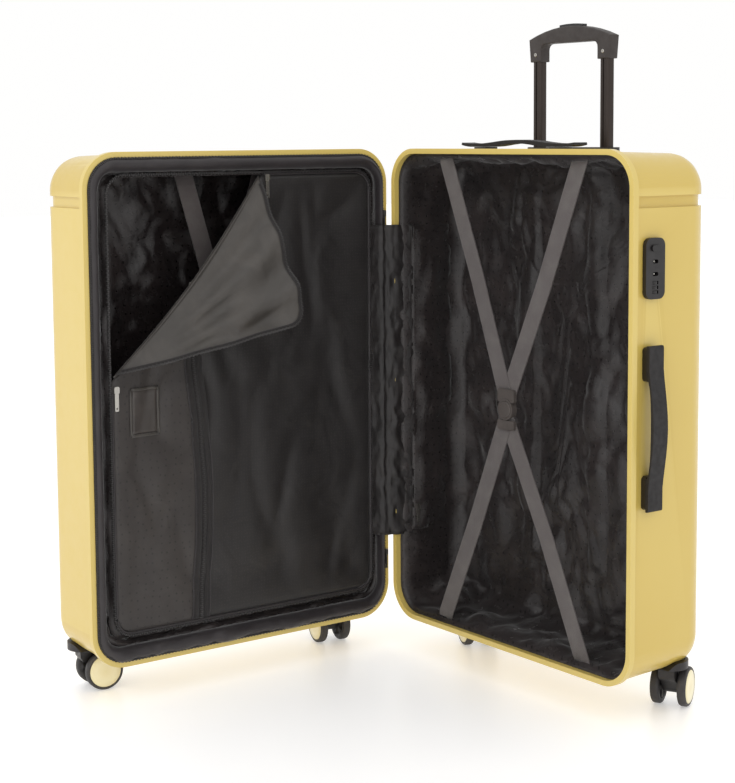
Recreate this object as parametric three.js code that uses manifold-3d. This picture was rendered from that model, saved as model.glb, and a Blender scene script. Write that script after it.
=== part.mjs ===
// A large hard shell suitcase on four twin-wheel casters, standing open like a book at a right angle.
//
// Millimetres, +Z up, floor at Z = 0. The rear half (trolley, lock, handles) lies along +X from the hinge
// and its mouth faces -Y. The lid half lies along -Y from the hinge and its mouth faces +X. Each half is
// built in a half frame: X across it, Y from the mouth inwards, Z up. The rear half's frame is the world's,
// with the hinge at X = 0. The lid's is turned a quarter turn, which puts its hinge at X = WIDTH.

import * as THREE from 'three';
import { mergeVertices } from 'three/addons/utils/BufferGeometryUtils.js';
import Module from 'manifold-3d';

const wasm = await Module();
wasm.setup();

// ---------------------------------------------------------------- driving dimensions

const WIDTH = 500; // mouth of each half, hinge side to lock side
const BOTTOM = 50; // lower edge of the mouth above the floor
const TOP = 750; // upper edge of the mouth
const REAR_DEPTH = 152;
const LID_DEPTH = 134;
const RIM_RADIUS = 50; // corners of the mouth
const BACK_RADIUS = 36; // round between the side walls and the big face
const WALL = 2.4; // shell thickness
const DRAFT = 0.03; // the walls lean in this much for each millimetre of depth
const GAP = 0.3; // clearance between pieces that touch
const FAR = 1000; // reach of a cutting block past the case
const THROUGH = 40; // depth of a hole that goes through one wall

const RIM_PROUD = 3; // the rim trim stands this far outside the shell
const RIM_WIDTH = 7.5;
const RIM_DEPTH = 9;

const GROOVE_HEIGHT = 683; // middle of the styling groove
const GROOVE_HALF = 7.5;
const GROOVE_DEPTH = 4;
const GROOVE_START = 13; // behind the mouth
const RIB_COUNT = 5; // upright channels in each big face
const RIB_PITCH = 72;
const RIB_HALF = 5;
const RIB_DEPTH = 2.5;
const RIB_BOTTOM = 130;
const RIB_TOP = 640;

const CLOSED_GAP = 9; // between the two mouths when the case is shut
const HINGE_X = -0.6;
const HINGE_Y = -CLOSED_GAP / 2;

const LINING_INSET = 13.5;
const LINING_THICK = 1.5;
const REAR_LINING = { front: 24, back: 118, round: 20 };
const LID_LINING = { front: 12, back: 122, round: 28 };

const CASTER_FROM_LOCK = 38; // swivel axis to the side wall that opens
const CASTER_FROM_HINGE = 54;
const CASTER_FROM_BACK = 40;
const RECESS_TOP = 69; // the shell's corner is pressed up to here over a caster
const RAMP = { start: 32, end: 5, low: 50, bend: 13 }; // its slope, measured in from the swivel axis
const WHEEL_RADIUS = 27;
const WHEEL_WIDTH = 12;
const WHEEL_SPACING = 37; // middle to middle of a twin pair
const BORE_RADIUS = 3.5;
const AXLE_RADIUS = 3.1;
const TRAIL = 19; // swivel axis to axle
const HOUSING_BOTTOM = 58;
const HOUSING_RADIUS = 26;
const STEM_RADIUS = 5;
const HOUSING_SKIN = 3; // thickness of the flange that lines the recess
const HOUSING_FRONT = 19; // the flange starts this far behind the mouth
const CROWN_ROOM = 18; // radius of the hollow that the fork's crown turns in
const FORK_WIDTH = 22;

const TROLLEY_X = 250;
const TROLLEY_Y = 130;
const TUBE_SPACING = 136;
const INNER_TUBE = { width: 17.5, depth: 13, bottom: 210 };
const OUTER_TUBE = { width: 22.5, depth: 17.5, wall: 1.4, bottom: 84.3, top: 732.7 };
const GRIP_BOTTOM = 871.3; // foot of the grip's legs with the trolley part drawn
const GRIP = { width: 165, leg: 23, depth: 18, rise: 32, crown: 48, opening: 26 };

const SIDE_STRIP = { front: 21, back: 47 }; // depth range of the side handle
const LOCK = { front: 20, back: 54, bottom: 560, top: 638, face: 503 };

const STRAP_WIDTH = 28;
const STRAP_THICK = 1.5;
const BUCKLE = { x: 250, z: 391, radius: 15 };
// The lid's straps cross over; upper and lower are half their spread at the top and at the bottom.
const CROSS_STRAP = { upper: 80, lower: 130, high: 726, low: 84, depth: 70 };

// The divider, in the lid's frame. FOLD_HIGH and FOLD_LOW are the ends of the line that its loose corner
// is folded along.
const DIVIDER = { left: 44, right: 476, bottom: 92, top: 716, front: 12, thick: 1.5, round: 24 };
const FOLD_HIGH = new THREE.Vector3(288, 8.5, 716);
const FOLD_LOW = new THREE.Vector3(44, 8.5, 442);

// Where the swivel axes stand across each half. The lid's frame has its hinge at X = WIDTH.
const REAR_CASTERS = [CASTER_FROM_HINGE, WIDTH - CASTER_FROM_LOCK];
const LID_CASTERS = [CASTER_FROM_LOCK, WIDTH - CASTER_FROM_HINGE];

// ---------------------------------------------------------------- materials

function finish(color, roughness, metalness = 0) {
  return new THREE.MeshStandardMaterial({ color, roughness, metalness });
}

const YELLOW = finish(0xead794, 0.42);
const BLACK = finish(0x242326, 0.45);
const SOFT_BLACK = finish(0x2b2a2c, 0.6);
const TYRE = finish(0x353335, 0.75);
const BRONZE = finish(0x3d3a38, 0.35, 0.8);
const STEEL = finish(0xb9b7b0, 0.3, 1);
const LINING = finish(0x1f1e1f, 0.5);
const DIVIDER_CLOTH = finish(0x2d2b2b, 0.6);
const WEBBING = finish(0x55514f, 0.7);

// ---------------------------------------------------------------- solids and outlines

function solid(geometry) {
  const bare = geometry.index ? geometry : geometry.clone();
  bare.deleteAttribute('normal');
  bare.deleteAttribute('uv');
  const merged = mergeVertices(bare, 1e-4);
  const mesh = new wasm.Mesh({
    numProp: 3,
    vertProperties: new Float32Array(merged.attributes.position.array),
    triVerts: new Uint32Array(merged.index.array),
  });
  return new wasm.Manifold(mesh);
}

function geometryOf(manifold) {
  const mesh = manifold.getMesh();
  const geometry = new THREE.BufferGeometry();
  geometry.setAttribute('position', new THREE.BufferAttribute(mesh.vertProperties, 3));
  geometry.setIndex(new THREE.BufferAttribute(mesh.triVerts, 1));
  geometry.computeVertexNormals();
  return geometry;
}

function box(x0, x1, y0, y1, z0, z1) {
  const geometry = new THREE.BoxGeometry(x1 - x0, y1 - y0, z1 - z0);
  return geometry.translate((x0 + x1) / 2, (y0 + y1) / 2, (z0 + z1) / 2);
}

function roundedRect(x0, x1, z0, z1, r) {
  const shape = new THREE.Shape();
  shape.moveTo(x0 + r, z0);
  shape.absarc(x1 - r, z0 + r, r, -Math.PI / 2, 0);
  shape.absarc(x1 - r, z1 - r, r, 0, Math.PI / 2);
  shape.absarc(x0 + r, z1 - r, r, Math.PI / 2, Math.PI);
  shape.absarc(x0 + r, z0 + r, r, Math.PI, 1.5 * Math.PI);
  return shape;
}

// The mouth's outline, drawn in by inset on every side.
function mouth(inset) {
  const radius = RIM_RADIUS - inset;
  return roundedRect(inset, WIDTH - inset, BOTTOM + inset, TOP - inset, radius);
}

function extrude(shape, depth, curveSegments = 5) {
  return new THREE.ExtrudeGeometry(shape, { depth, bevelEnabled: false, curveSegments });
}

// An upright shape (X, Z), thick from y0 to y1.
function plateXZ(shape, y0, y1, curveSegments) {
  return extrude(shape, y1 - y0, curveSegments).rotateX(Math.PI / 2).translate(0, y1, 0);
}

// An upright shape (Y, Z), thick from x0 to x1.
function plateYZ(shape, x0, x1, curveSegments) {
  const geometry = extrude(shape, x1 - x0, curveSegments);
  return geometry.rotateX(Math.PI / 2).rotateZ(Math.PI / 2).translate(x0, 0, 0);
}

// A flat shape (X, Y), thick from z0 to z1.
function plateXY(shape, z0, z1, curveSegments) {
  return extrude(shape, z1 - z0, curveSegments).translate(0, 0, z0);
}

function cylinder(radius, length, sides = 16) {
  return new THREE.CylinderGeometry(radius, radius, length, sides);
}

// A block with the case's outline and a rounded big face at y = back. It reaches well past the mouth, so
// that its other end can be cut off square. lean is the draft of its walls.
function block(inset, back, round, lean, steps, sides) {
  const spare = 60;
  const geometry = new THREE.ExtrudeGeometry(mouth(inset), {
    depth: back + spare - 2 * round,
    bevelThickness: round,
    bevelSize: round,
    bevelOffset: -round,
    bevelSegments: steps,
    curveSegments: sides,
  });
  geometry.rotateX(Math.PI / 2).translate(0, back - round, 0);
  const points = geometry.attributes.position;
  const middleZ = (BOTTOM + TOP) / 2;
  for (let i = 0; i < points.count; i += 1) {
    const drawn = lean * points.getY(i);
    const x = points.getX(i) - WIDTH / 2;
    const z = points.getZ(i) - middleZ;
    points.setX(i, WIDTH / 2 + x * (1 - drawn / (WIDTH / 2)));
    points.setZ(i, middleZ + z * (1 - drawn / ((TOP - BOTTOM) / 2)));
  }
  return solid(geometry);
}

function shellBlock(inset, depth) {
  return block(RIM_PROUD + inset, depth - inset, BACK_RADIUS - inset, DRAFT, 6, 7);
}

function behind(y) {
  return solid(box(-FAR, FAR, y, FAR, -FAR, FAR));
}

// ---------------------------------------------------------------- shells and their trim

// The groove round the upper part of a half. grow widens it by the wall thickness for the inside face.
function groove(depth, grow) {
  const half = GROOVE_HALF + grow;
  const band = box(-FAR, FAR, GROOVE_START - grow, FAR, GROOVE_HEIGHT - half, GROOVE_HEIGHT + half);
  return solid(band).subtract(shellBlock(GROOVE_DEPTH + grow, depth));
}

// The upright channels of the big face.
function ribs(depth, grow) {
  const half = RIB_HALF + grow;
  const first = WIDTH / 2 - (RIB_PITCH * (RIB_COUNT - 1)) / 2;
  let channels = null;
  for (let i = 0; i < RIB_COUNT; i += 1) {
    const x = first + i * RIB_PITCH;
    const outline = roundedRect(x - half, x + half, RIB_BOTTOM - grow, RIB_TOP + grow, half - 0.01);
    const channel = solid(plateXZ(outline, depth - RIB_DEPTH - grow, depth + 1, 2));
    channels = channels ? channels.add(channel) : channel;
  }
  return channels;
}

// One side of a caster recess: an S-shaped slope up to the recess's flat top, which runs on to the outside
// of the case. out is +1 or -1, the way from the swivel axis to the outside.
function recessProfile(middle, out, grow) {
  const start = middle - out * (RAMP.start + grow);
  const end = middle - out * (RAMP.end + grow);
  const bend = out * RAMP.bend;
  const top = RECESS_TOP + grow;
  const shape = new THREE.Shape();
  shape.moveTo(start, 0);
  shape.lineTo(start, RAMP.low + grow);
  shape.bezierCurveTo(start + bend, RAMP.low + grow, end - bend, top, end, top);
  shape.lineTo(middle + out * FAR, top);
  shape.lineTo(middle + out * FAR, 0);
  return shape;
}

// The recess over one caster, open to the side and to the back. grow widens it all round.
function casterRecess(centreX, depth, grow) {
  const across = recessProfile(centreX, Math.sign(centreX - WIDTH / 2), grow);
  const inwards = recessProfile(depth - CASTER_FROM_BACK, 1, grow);
  return solid(plateXZ(across, -FAR, FAR, 8)).intersect(solid(plateYZ(inwards, -FAR, FAR, 8)));
}

function casterRecesses(centres, depth, grow) {
  return casterRecess(centres[0], depth, grow).add(casterRecess(centres[1], depth, grow));
}

// Everything that is pressed into a half's outside.
function dents(casters, depth, grow) {
  return groove(depth, grow).add(ribs(depth, grow)).add(casterRecesses(casters, depth, grow));
}

function halfShell(casters, depth) {
  const outside = shellBlock(0, depth).subtract(dents(casters, depth, 0));
  const inside = shellBlock(WALL, depth).subtract(dents(casters, depth, WALL));
  return outside.subtract(inside).intersect(behind(RIM_DEPTH + GAP));
}

function rearShell() {
  const trolleyHole = solid(plateXY(plugOutline(GAP), TOP - THROUGH, FAR));
  const lockHole = solid(plateYZ(lockPocket(GAP), WIDTH - THROUGH, FAR));
  return geometryOf(halfShell(REAR_CASTERS, REAR_DEPTH).subtract(trolleyHole).subtract(lockHole));
}

function frontShell() {
  return geometryOf(halfShell(LID_CASTERS, LID_DEPTH));
}

function rimTrim() {
  const shape = mouth(0);
  shape.holes.push(mouth(RIM_WIDTH));
  return plateXZ(shape, 0, RIM_DEPTH, 8);
}

// The zip tape that stands proud of the lid's rim and fills the closed gap.
function zipBand() {
  const shape = mouth(2.5);
  shape.holes.push(mouth(6.5));
  return plateXZ(shape, 2 * GAP - CLOSED_GAP, -GAP, 8);
}

// ---------------------------------------------------------------- lining

// A thin tray of cloth with the case's outline. The caster recesses push it up at the corners.
function liningTray(span, casters, depth) {
  const outer = block(LINING_INSET, span.back, span.round, 0, 2, 4);
  const innerRound = span.round - LINING_THICK;
  const inner = block(LINING_INSET + LINING_THICK, span.back - LINING_THICK, innerRound, 0, 2, 4);
  const clear = WALL + 1.5;
  const skin = outer.subtract(casterRecesses(casters, depth, clear));
  const hollow = inner.subtract(casterRecesses(casters, depth, clear + LINING_THICK));
  return { skin: skin.intersect(behind(span.front)), hollow };
}

function rearLining() {
  const { skin, hollow } = liningTray(REAR_LINING, REAR_CASTERS, REAR_DEPTH);
  return geometryOf(skin.subtract(hollow));
}

// The lid's lining turns inwards at the mouth as a gusset, which the divider is zipped to.
function frontLining() {
  const { skin, hollow } = liningTray(LID_LINING, LID_CASTERS, LID_DEPTH);
  const room = hollow.intersect(behind(LID_LINING.front + LINING_THICK));
  const margin = 2;
  const opening = roundedRect(
    DIVIDER.left - margin,
    DIVIDER.right + margin,
    DIVIDER.bottom - margin,
    DIVIDER.top + margin,
    DIVIDER.round + margin,
  );
  return geometryOf(skin.subtract(room).subtract(solid(plateXZ(opening, 0, 40))));
}

// ---------------------------------------------------------------- divider with its loose corner

// A slab that covers everything on the corner's side of the fold line, starting away millimetres from it
// and leaving out trim millimetres at each end of the line.
function foldSide(away, trim) {
  const along = FOLD_LOW.clone().sub(FOLD_HIGH).normalize();
  const out = new THREE.Vector3(along.z, 0, -along.x);
  const length = FOLD_LOW.distanceTo(FOLD_HIGH);
  const corner = (s, t) => {
    const p = FOLD_HIGH.clone().addScaledVector(along, s).addScaledVector(out, t);
    return new THREE.Vector2(p.x, p.z);
  };
  const shape = new THREE.Shape([
    corner(trim, away),
    corner(length - trim, away),
    corner(length - trim, FAR),
    corner(trim, FAR),
  ]);
  return solid(plateXZ(shape, 0, 40));
}

function dividerSheet() {
  const { left, right, bottom, top, front, thick, round } = DIVIDER;
  return solid(plateXZ(roundedRect(left, right, bottom, top, round), front, front + thick));
}

function dividerPanel() {
  return geometryOf(dividerSheet().subtract(foldSide(-1.5, -200)));
}

// The corner is cut as it lies when zipped up, then turned over the fold line.
function dividerCornerFlap() {
  const geometry = geometryOf(dividerSheet().intersect(foldSide(1.5, 12)));
  const axis = FOLD_LOW.clone().sub(FOLD_HIGH).normalize();
  geometry.translate(-FOLD_HIGH.x, -FOLD_HIGH.y, -FOLD_HIGH.z);
  geometry.applyMatrix4(new THREE.Matrix4().makeRotationAxis(axis, Math.PI));
  return geometry.translate(FOLD_HIGH.x, FOLD_HIGH.y, FOLD_HIGH.z);
}

// ---------------------------------------------------------------- straps and buckle

// A flat strap between two points of an upright plane.
function strap(x0, z0, x1, z1, y) {
  const run = new THREE.Vector2(x1 - x0, z1 - z0).normalize();
  const side = new THREE.Vector2(-run.y, run.x).multiplyScalar(STRAP_WIDTH / 2);
  const shape = new THREE.Shape([
    new THREE.Vector2(x0 + side.x, z0 + side.y),
    new THREE.Vector2(x0 - side.x, z0 - side.y),
    new THREE.Vector2(x1 - side.x, z1 - side.y),
    new THREE.Vector2(x1 + side.x, z1 + side.y),
  ]);
  return plateXZ(shape, y, y + STRAP_THICK);
}

function crossStrap() {
  const { upper, lower, high, low, depth } = CROSS_STRAP;
  const one = solid(strap(WIDTH / 2 - upper, high, WIDTH / 2 + lower, low, depth));
  return geometryOf(one.add(solid(strap(WIDTH / 2 + upper, high, WIDTH / 2 - lower, low, depth))));
}

function buckleBody() {
  const { x, z, radius } = BUCKLE;
  const disc = solid(cylinder(radius, 9, 28).translate(x, 9.5, z));
  const ladder = solid(plateXZ(roundedRect(x - 17, x + 17, z + 10, z + 28, 3), 6, 11.6, 3));
  const seat = solid(cylinder(11.8, 4, 24).translate(x, 7, z));
  return geometryOf(disc.add(ladder).subtract(seat));
}

function buckleButton() {
  const { x, z } = BUCKLE;
  return cylinder(11.4, 3, 24).translate(x, 5.4, z);
}

function buckleTongue() {
  const { x, z, radius } = BUCKLE;
  const top = z - radius - GAP;
  return plateXZ(roundedRect(x - 17, x + 17, top - 13, top, 3), 6, 11.6, 3);
}

// ---------------------------------------------------------------- zip sliders and pocket

// A slider with its pull tab hanging down, drawn round the slider's middle, thick from 0 to -2.6 in Y.
function zipSlider(tab) {
  const slider = solid(plateXZ(roundedRect(-4, 4, -5, 5, 2), -2.6, 0, 1));
  const pull = roundedRect(-3, 3, -5 - tab, -4, 1.5);
  const eye = new THREE.Path();
  eye.absarc(0, -tab - 1, 1.4, 0, 2 * Math.PI);
  pull.holes.push(eye);
  return geometryOf(slider.add(solid(plateXZ(pull, -1.9, -0.6, 2))));
}

function pocketPanel() {
  const x = LINING_INSET + LINING_THICK + 0.5;
  return plateYZ(roundedRect(24.5, 97, 178, 636, 6), x, x + LINING_THICK, 3);
}

function hingeFlap() {
  return box(8.2, 9.7, 1, 22, 172, 638);
}

// ---------------------------------------------------------------- trolley

function bar(width, depth, z0, z1, round) {
  const shape = roundedRect(-width / 2, width / 2, -depth / 2, depth / 2, round);
  return plateXY(shape, z0, z1, 3);
}

// An oval tube with a flute down the middle of each broad face.
function innerTube() {
  const { width, depth, bottom } = INNER_TUBE;
  const tube = solid(bar(width, depth, bottom, GRIP_BOTTOM + 13, 4));
  const flute = (y) => solid(box(-1.6, 1.6, y - 1, y + 1, 0, 2 * FAR));
  return geometryOf(tube.subtract(flute(-depth / 2)).subtract(flute(depth / 2)));
}

function outerTube() {
  const { width, depth, wall, bottom, top } = OUTER_TUBE;
  const hole = bar(width - 2 * wall, depth - 2 * wall, bottom - 5, top + 5, 4);
  return geometryOf(solid(bar(width, depth, bottom, top, 5)).subtract(solid(hole)));
}

function trolleyBase() {
  const shape = roundedRect(TROLLEY_X - 86, TROLLEY_X + 86, TROLLEY_Y - 11, TROLLEY_Y + 8, 6);
  return plateXY(shape, 70, OUTER_TUBE.bottom - GAP, 3);
}

function plugOutline(grow) {
  const halfX = 82 + grow;
  const halfY = 10 + grow;
  return roundedRect(
    TROLLEY_X - halfX,
    TROLLEY_X + halfX,
    TROLLEY_Y - halfY,
    TROLLEY_Y + halfY,
    6,
  );
}

// The plate round the tubes on top of the case. Its skirt is moulded to the rounded shoulder of the shell,
// and its plug fills the hole below it.
function trolleyBezel() {
  const rim = roundedRect(TROLLEY_X - 86, TROLLEY_X + 86, TROLLEY_Y - 13, TROLLEY_Y + 13, 10);
  const flange = solid(plateXY(rim, 725, 751, 4)).subtract(shellBlock(-GAP, REAR_DEPTH));
  let bezel = flange.add(solid(plateXY(plugOutline(0), OUTER_TUBE.top + GAP, 748, 4)));
  for (const side of [-1, 1]) {
    const x = TROLLEY_X + (side * TUBE_SPACING) / 2;
    const hole = bar(INNER_TUBE.width + 1, INNER_TUBE.depth + 1, 700, 800, 4.5);
    bezel = bezel.subtract(solid(hole.translate(x, TROLLEY_Y, 0)));
  }
  return geometryOf(bezel);
}

// The arch of the grip and its two legs, drawn about the middle of the legs' feet.
function gripOutline() {
  const { width, leg, rise, crown, opening } = GRIP;
  const outer = TUBE_SPACING / 2 + leg / 2;
  const inner = TUBE_SPACING / 2 - leg / 2;
  const shape = new THREE.Shape();
  shape.moveTo(-outer, 0);
  shape.lineTo(-width / 2, rise);
  shape.quadraticCurveTo(-width / 4, crown, 0, crown);
  shape.quadraticCurveTo(width / 4, crown, width / 2, rise);
  shape.lineTo(outer, 0);
  shape.lineTo(inner, 0);
  shape.lineTo(inner, opening - 10);
  shape.quadraticCurveTo(inner, opening - 1, inner - 12, opening - 1);
  shape.lineTo(-inner + 12, opening - 1);
  shape.quadraticCurveTo(-inner, opening - 1, -inner, opening - 10);
  shape.lineTo(-inner, 0);
  return shape;
}

const BUTTON = { half: 23.3, depth: 8.4, bottom: 43, top: 51 };

function trolleyGrip() {
  const geometry = new THREE.ExtrudeGeometry(gripOutline(), {
    depth: GRIP.depth - 6,
    bevelThickness: 3,
    bevelSize: 2,
    bevelOffset: -2,
    bevelSegments: 2,
    curveSegments: 5,
  });
  geometry.rotateX(Math.PI / 2).translate(0, GRIP.depth / 2 - 3, 0);
  let grip = solid(geometry);
  for (const side of [-1, 1]) {
    const socket = bar(INNER_TUBE.width + 0.8, INNER_TUBE.depth + 0.8, -1, 13.6, 4);
    grip = grip.subtract(solid(socket.translate((side * TUBE_SPACING) / 2, 0, 0)));
  }
  const halfX = BUTTON.half + GAP;
  const halfY = BUTTON.depth / 2 + GAP;
  grip = grip.subtract(solid(box(-halfX, halfX, -halfY, halfY, BUTTON.bottom - 4, 80)));
  return geometryOf(grip);
}

function trolleyButton() {
  const { half, depth, bottom, top } = BUTTON;
  const shape = new THREE.Shape();
  shape.moveTo(-half, bottom);
  shape.lineTo(half, bottom);
  shape.lineTo(half, top - 1.2);
  shape.quadraticCurveTo(0, top + 1.2, -half, top - 1.2);
  return plateXZ(shape, -depth / 2, depth / 2);
}

// ---------------------------------------------------------------- carrying handles

// The top handle's side view, about the middle of its seat: the tips curl up and the middle arches.
function topHandle() {
  const shape = new THREE.Shape();
  shape.moveTo(-116, 2.7);
  shape.quadraticCurveTo(-105, 0, -92, 0);
  shape.lineTo(-62, 0);
  shape.bezierCurveTo(-40, 0, -30, 4.6, 0, 4.6);
  shape.bezierCurveTo(30, 4.6, 40, 0, 62, 0);
  shape.lineTo(92, 0);
  shape.quadraticCurveTo(105, 0, 116, 2.7);
  shape.lineTo(115, 6);
  shape.quadraticCurveTo(104, 4.5, 88, 4.5);
  shape.bezierCurveTo(50, 4.5, 40, 9.7, 0, 9.7);
  shape.bezierCurveTo(-40, 9.7, -50, 4.5, -88, 4.5);
  shape.quadraticCurveTo(-104, 4.5, -115, 6);
  return plateXZ(shape, 24, 48, 5).translate(WIDTH / 2, 0, 752.3);
}

function topHandleFoot(x) {
  return plateXY(roundedRect(x - 16, x + 16, 25, 47, 6), 746.6, 752, 3);
}

// The side handle bows away from the wall between its two feet.
const SIDE_HANDLE = { bottom: 287, top: 501, inner: 504.5, outer: 509.5, bow: 8.5 };

function sideHandle() {
  const { bottom, top, inner, outer, bow } = SIDE_HANDLE;
  const middle = (bottom + top) / 2;
  const straight = 42;
  const shape = new THREE.Shape();
  shape.moveTo(inner, bottom);
  shape.lineTo(outer - 2, bottom);
  shape.quadraticCurveTo(outer, bottom, outer, bottom + 4);
  shape.lineTo(outer, bottom + straight - 12);
  shape.bezierCurveTo(outer + 2, bottom + straight + 10, outer + bow, middle - 30, outer + bow, middle);
  shape.bezierCurveTo(outer + bow, middle + 30, outer + 2, top - straight - 10, outer, top - straight + 12);
  shape.lineTo(outer, top - 4);
  shape.quadraticCurveTo(outer, top, outer - 2, top);
  shape.lineTo(inner, top);
  shape.lineTo(inner, top - straight);
  shape.bezierCurveTo(inner + 6, top - straight, inner + bow, middle + 40, inner + bow, middle);
  shape.bezierCurveTo(inner + bow, middle - 40, inner + 6, bottom + straight, inner, bottom + straight);
  return plateXZ(shape, SIDE_STRIP.front, SIDE_STRIP.back, 5);
}

function sideHandleFoot(z0) {
  const shape = roundedRect(SIDE_STRIP.front, SIDE_STRIP.back, z0, z0 + 44, 5);
  return plateYZ(shape, 496.8, SIDE_HANDLE.inner - GAP, 3);
}

// ---------------------------------------------------------------- lock

const LOCK_MIDDLE = (LOCK.front + LOCK.back) / 2;
const DIAL = { radius: 4.6, half: 1.8, x: 499.3, heights: [569, 575, 581] };
const RECEIVERS = [592, 608];

function lockPocket(grow) {
  const side = 4 - grow;
  const end = 5 - grow;
  return roundedRect(LOCK.front + side, LOCK.back - side, LOCK.bottom + end, LOCK.top - end, 5);
}

function lockHousing() {
  const flange = plateYZ(roundedRect(LOCK.front, LOCK.back, LOCK.bottom, LOCK.top, 10), 497, LOCK.face, 5);
  let housing = solid(flange).add(solid(plateYZ(lockPocket(0), 493.6, 498)));
  for (const z of DIAL.heights) {
    const half = DIAL.half + GAP;
    const slot = box(494.3, FAR, LOCK_MIDDLE - 5.2, LOCK_MIDDLE + 5.2, z - half, z + half);
    housing = housing.subtract(solid(slot));
  }
  for (const z of RECEIVERS) {
    const hole = plateYZ(roundedRect(LOCK_MIDDLE - 5, LOCK_MIDDLE + 5, z - 2.5, z + 2.5, 2.4), 497, FAR, 3);
    housing = housing.subtract(solid(hole));
  }
  return geometryOf(housing);
}

function lockDial(z) {
  const dial = cylinder(DIAL.radius, 2 * DIAL.half, 16).rotateX(Math.PI / 2);
  return dial.translate(DIAL.x, LOCK_MIDDLE, z);
}

function lockButton() {
  const outline = roundedRect(LOCK_MIDDLE - 8, LOCK_MIDDLE + 8, 621, 629, 3.5);
  return plateYZ(outline, LOCK.face + GAP, LOCK.face + 2.6, 3);
}

// ---------------------------------------------------------------- casters

// A thin flange that lines the recess, and the round block below it that the fork turns in.
function casterHousing(centreX, depth) {
  const y = depth - CASTER_FROM_BACK;
  const flange = casterRecess(centreX, depth, -GAP).subtract(casterRecess(centreX, depth, -HOUSING_SKIN));
  const round = cylinder(HOUSING_RADIUS, 40, 32).rotateX(Math.PI / 2);
  const hub = solid(round.translate(centreX, y, HOUSING_BOTTOM + 20));
  const bore = cylinder(STEM_RADIUS + 2 * GAP, 200, 12).rotateX(Math.PI / 2);
  const housing = flange.intersect(shellBlock(1, depth)).intersect(behind(HOUSING_FRONT));
  const seated = housing.add(hub.intersect(casterRecess(centreX, depth, -GAP)));
  const crownRoom = cylinder(CROWN_ROOM, 20, 24).rotateX(Math.PI / 2);
  crownRoom.translate(centreX, y, HOUSING_BOTTOM - 10);
  const open = seated.subtract(solid(crownRoom));
  return geometryOf(open.subtract(solid(bore.translate(centreX, y, 0))));
}

// Crown, arm, hub and axle pin in one piece, drawn round the swivel axis with the axle along X.
function casterFork() {
  const crownTop = HOUSING_BOTTOM - GAP;
  const stem = cylinder(STEM_RADIUS, 14, 12).rotateX(Math.PI / 2).translate(0, 0, crownTop + 3);
  const crown = cylinder(15, 3.2, 24).rotateX(Math.PI / 2).translate(0, 0, crownTop - 1.6);
  const profile = new THREE.Shape();
  profile.moveTo(-13, crownTop - 2);
  profile.lineTo(13, crownTop - 2);
  profile.quadraticCurveTo(14, 40, 1, 37);
  profile.lineTo(-TRAIL + 8, WHEEL_RADIUS - 4);
  profile.lineTo(-TRAIL - 9, WHEEL_RADIUS + 2);
  profile.quadraticCurveTo(-TRAIL - 4, 42, -13, crownTop - 2);
  const arm = plateYZ(profile, -FORK_WIDTH / 2, FORK_WIDTH / 2, 3);
  const hub = cylinder(10, FORK_WIDTH, 16).rotateZ(Math.PI / 2).translate(0, -TRAIL, WHEEL_RADIUS);
  const pinLength = WHEEL_SPACING + WHEEL_WIDTH - 2;
  const pin = cylinder(AXLE_RADIUS, pinLength, 10).rotateZ(Math.PI / 2).translate(0, -TRAIL, WHEEL_RADIUS);
  return geometryOf([crown, arm, hub, pin].reduce((all, g) => all.add(solid(g)), solid(stem)));
}

function casterWheel() {
  const half = WHEEL_WIDTH / 2;
  const r = WHEEL_RADIUS;
  const profile = [
    [BORE_RADIUS, -half],
    [r - 3, -half],
    [r, -half + 3],
    [r, half - 3],
    [r - 3, half],
    [BORE_RADIUS, half],
    [BORE_RADIUS, -half],
  ].map(([x, y]) => new THREE.Vector2(x, y));
  return new THREE.LatheGeometry(profile, 28).rotateZ(Math.PI / 2);
}

// ---------------------------------------------------------------- assembly

const suitcase = new THREE.Group();
const rear = new THREE.Group();
const lid = new THREE.Group();
suitcase.add(rear, lid);

lid.rotation.z = Math.PI / 2;
lid.position.set(HINGE_X - HINGE_Y - CLOSED_GAP, HINGE_X + HINGE_Y - WIDTH, 0);

function place(parent, name, geometry, material, x = 0, y = 0, z = 0) {
  const mesh = new THREE.Mesh(geometry, material);
  mesh.name = name;
  mesh.position.set(x, y, z);
  parent.add(mesh);
  return mesh;
}

// One caster: angle turns its fork about the swivel axis from trailing towards the mouth.
function placeCaster(half, name, centreX, depth, angle) {
  place(half, `${name}_housing`, casterHousing(centreX, depth), BLACK);
  const swivel = new THREE.Group();
  swivel.position.set(centreX, depth - CASTER_FROM_BACK, 0);
  swivel.rotation.z = THREE.MathUtils.degToRad(angle);
  half.add(swivel);
  place(swivel, `${name}_fork`, casterFork(), BLACK);
  for (const [side, x] of [['a', -WHEEL_SPACING / 2], ['b', WHEEL_SPACING / 2]]) {
    place(swivel, `${name}_wheel_${side}`, casterWheel(), TYRE, x, -TRAIL, WHEEL_RADIUS);
  }
}

// Rear half
place(rear, 'rear_shell', rearShell(), YELLOW);
place(rear, 'rear_rim_trim', rimTrim(), YELLOW);
place(rear, 'rear_lining', rearLining(), LINING);
place(rear, 'pocket_panel', pocketPanel(), LINING);
place(rear, 'hinge_flap', hingeFlap(), LINING);
const pocketSlider = place(rear, 'pocket_zip_slider', zipSlider(18), STEEL, 17.4, 34, 212);
pocketSlider.rotation.z = Math.PI / 2;

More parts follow.
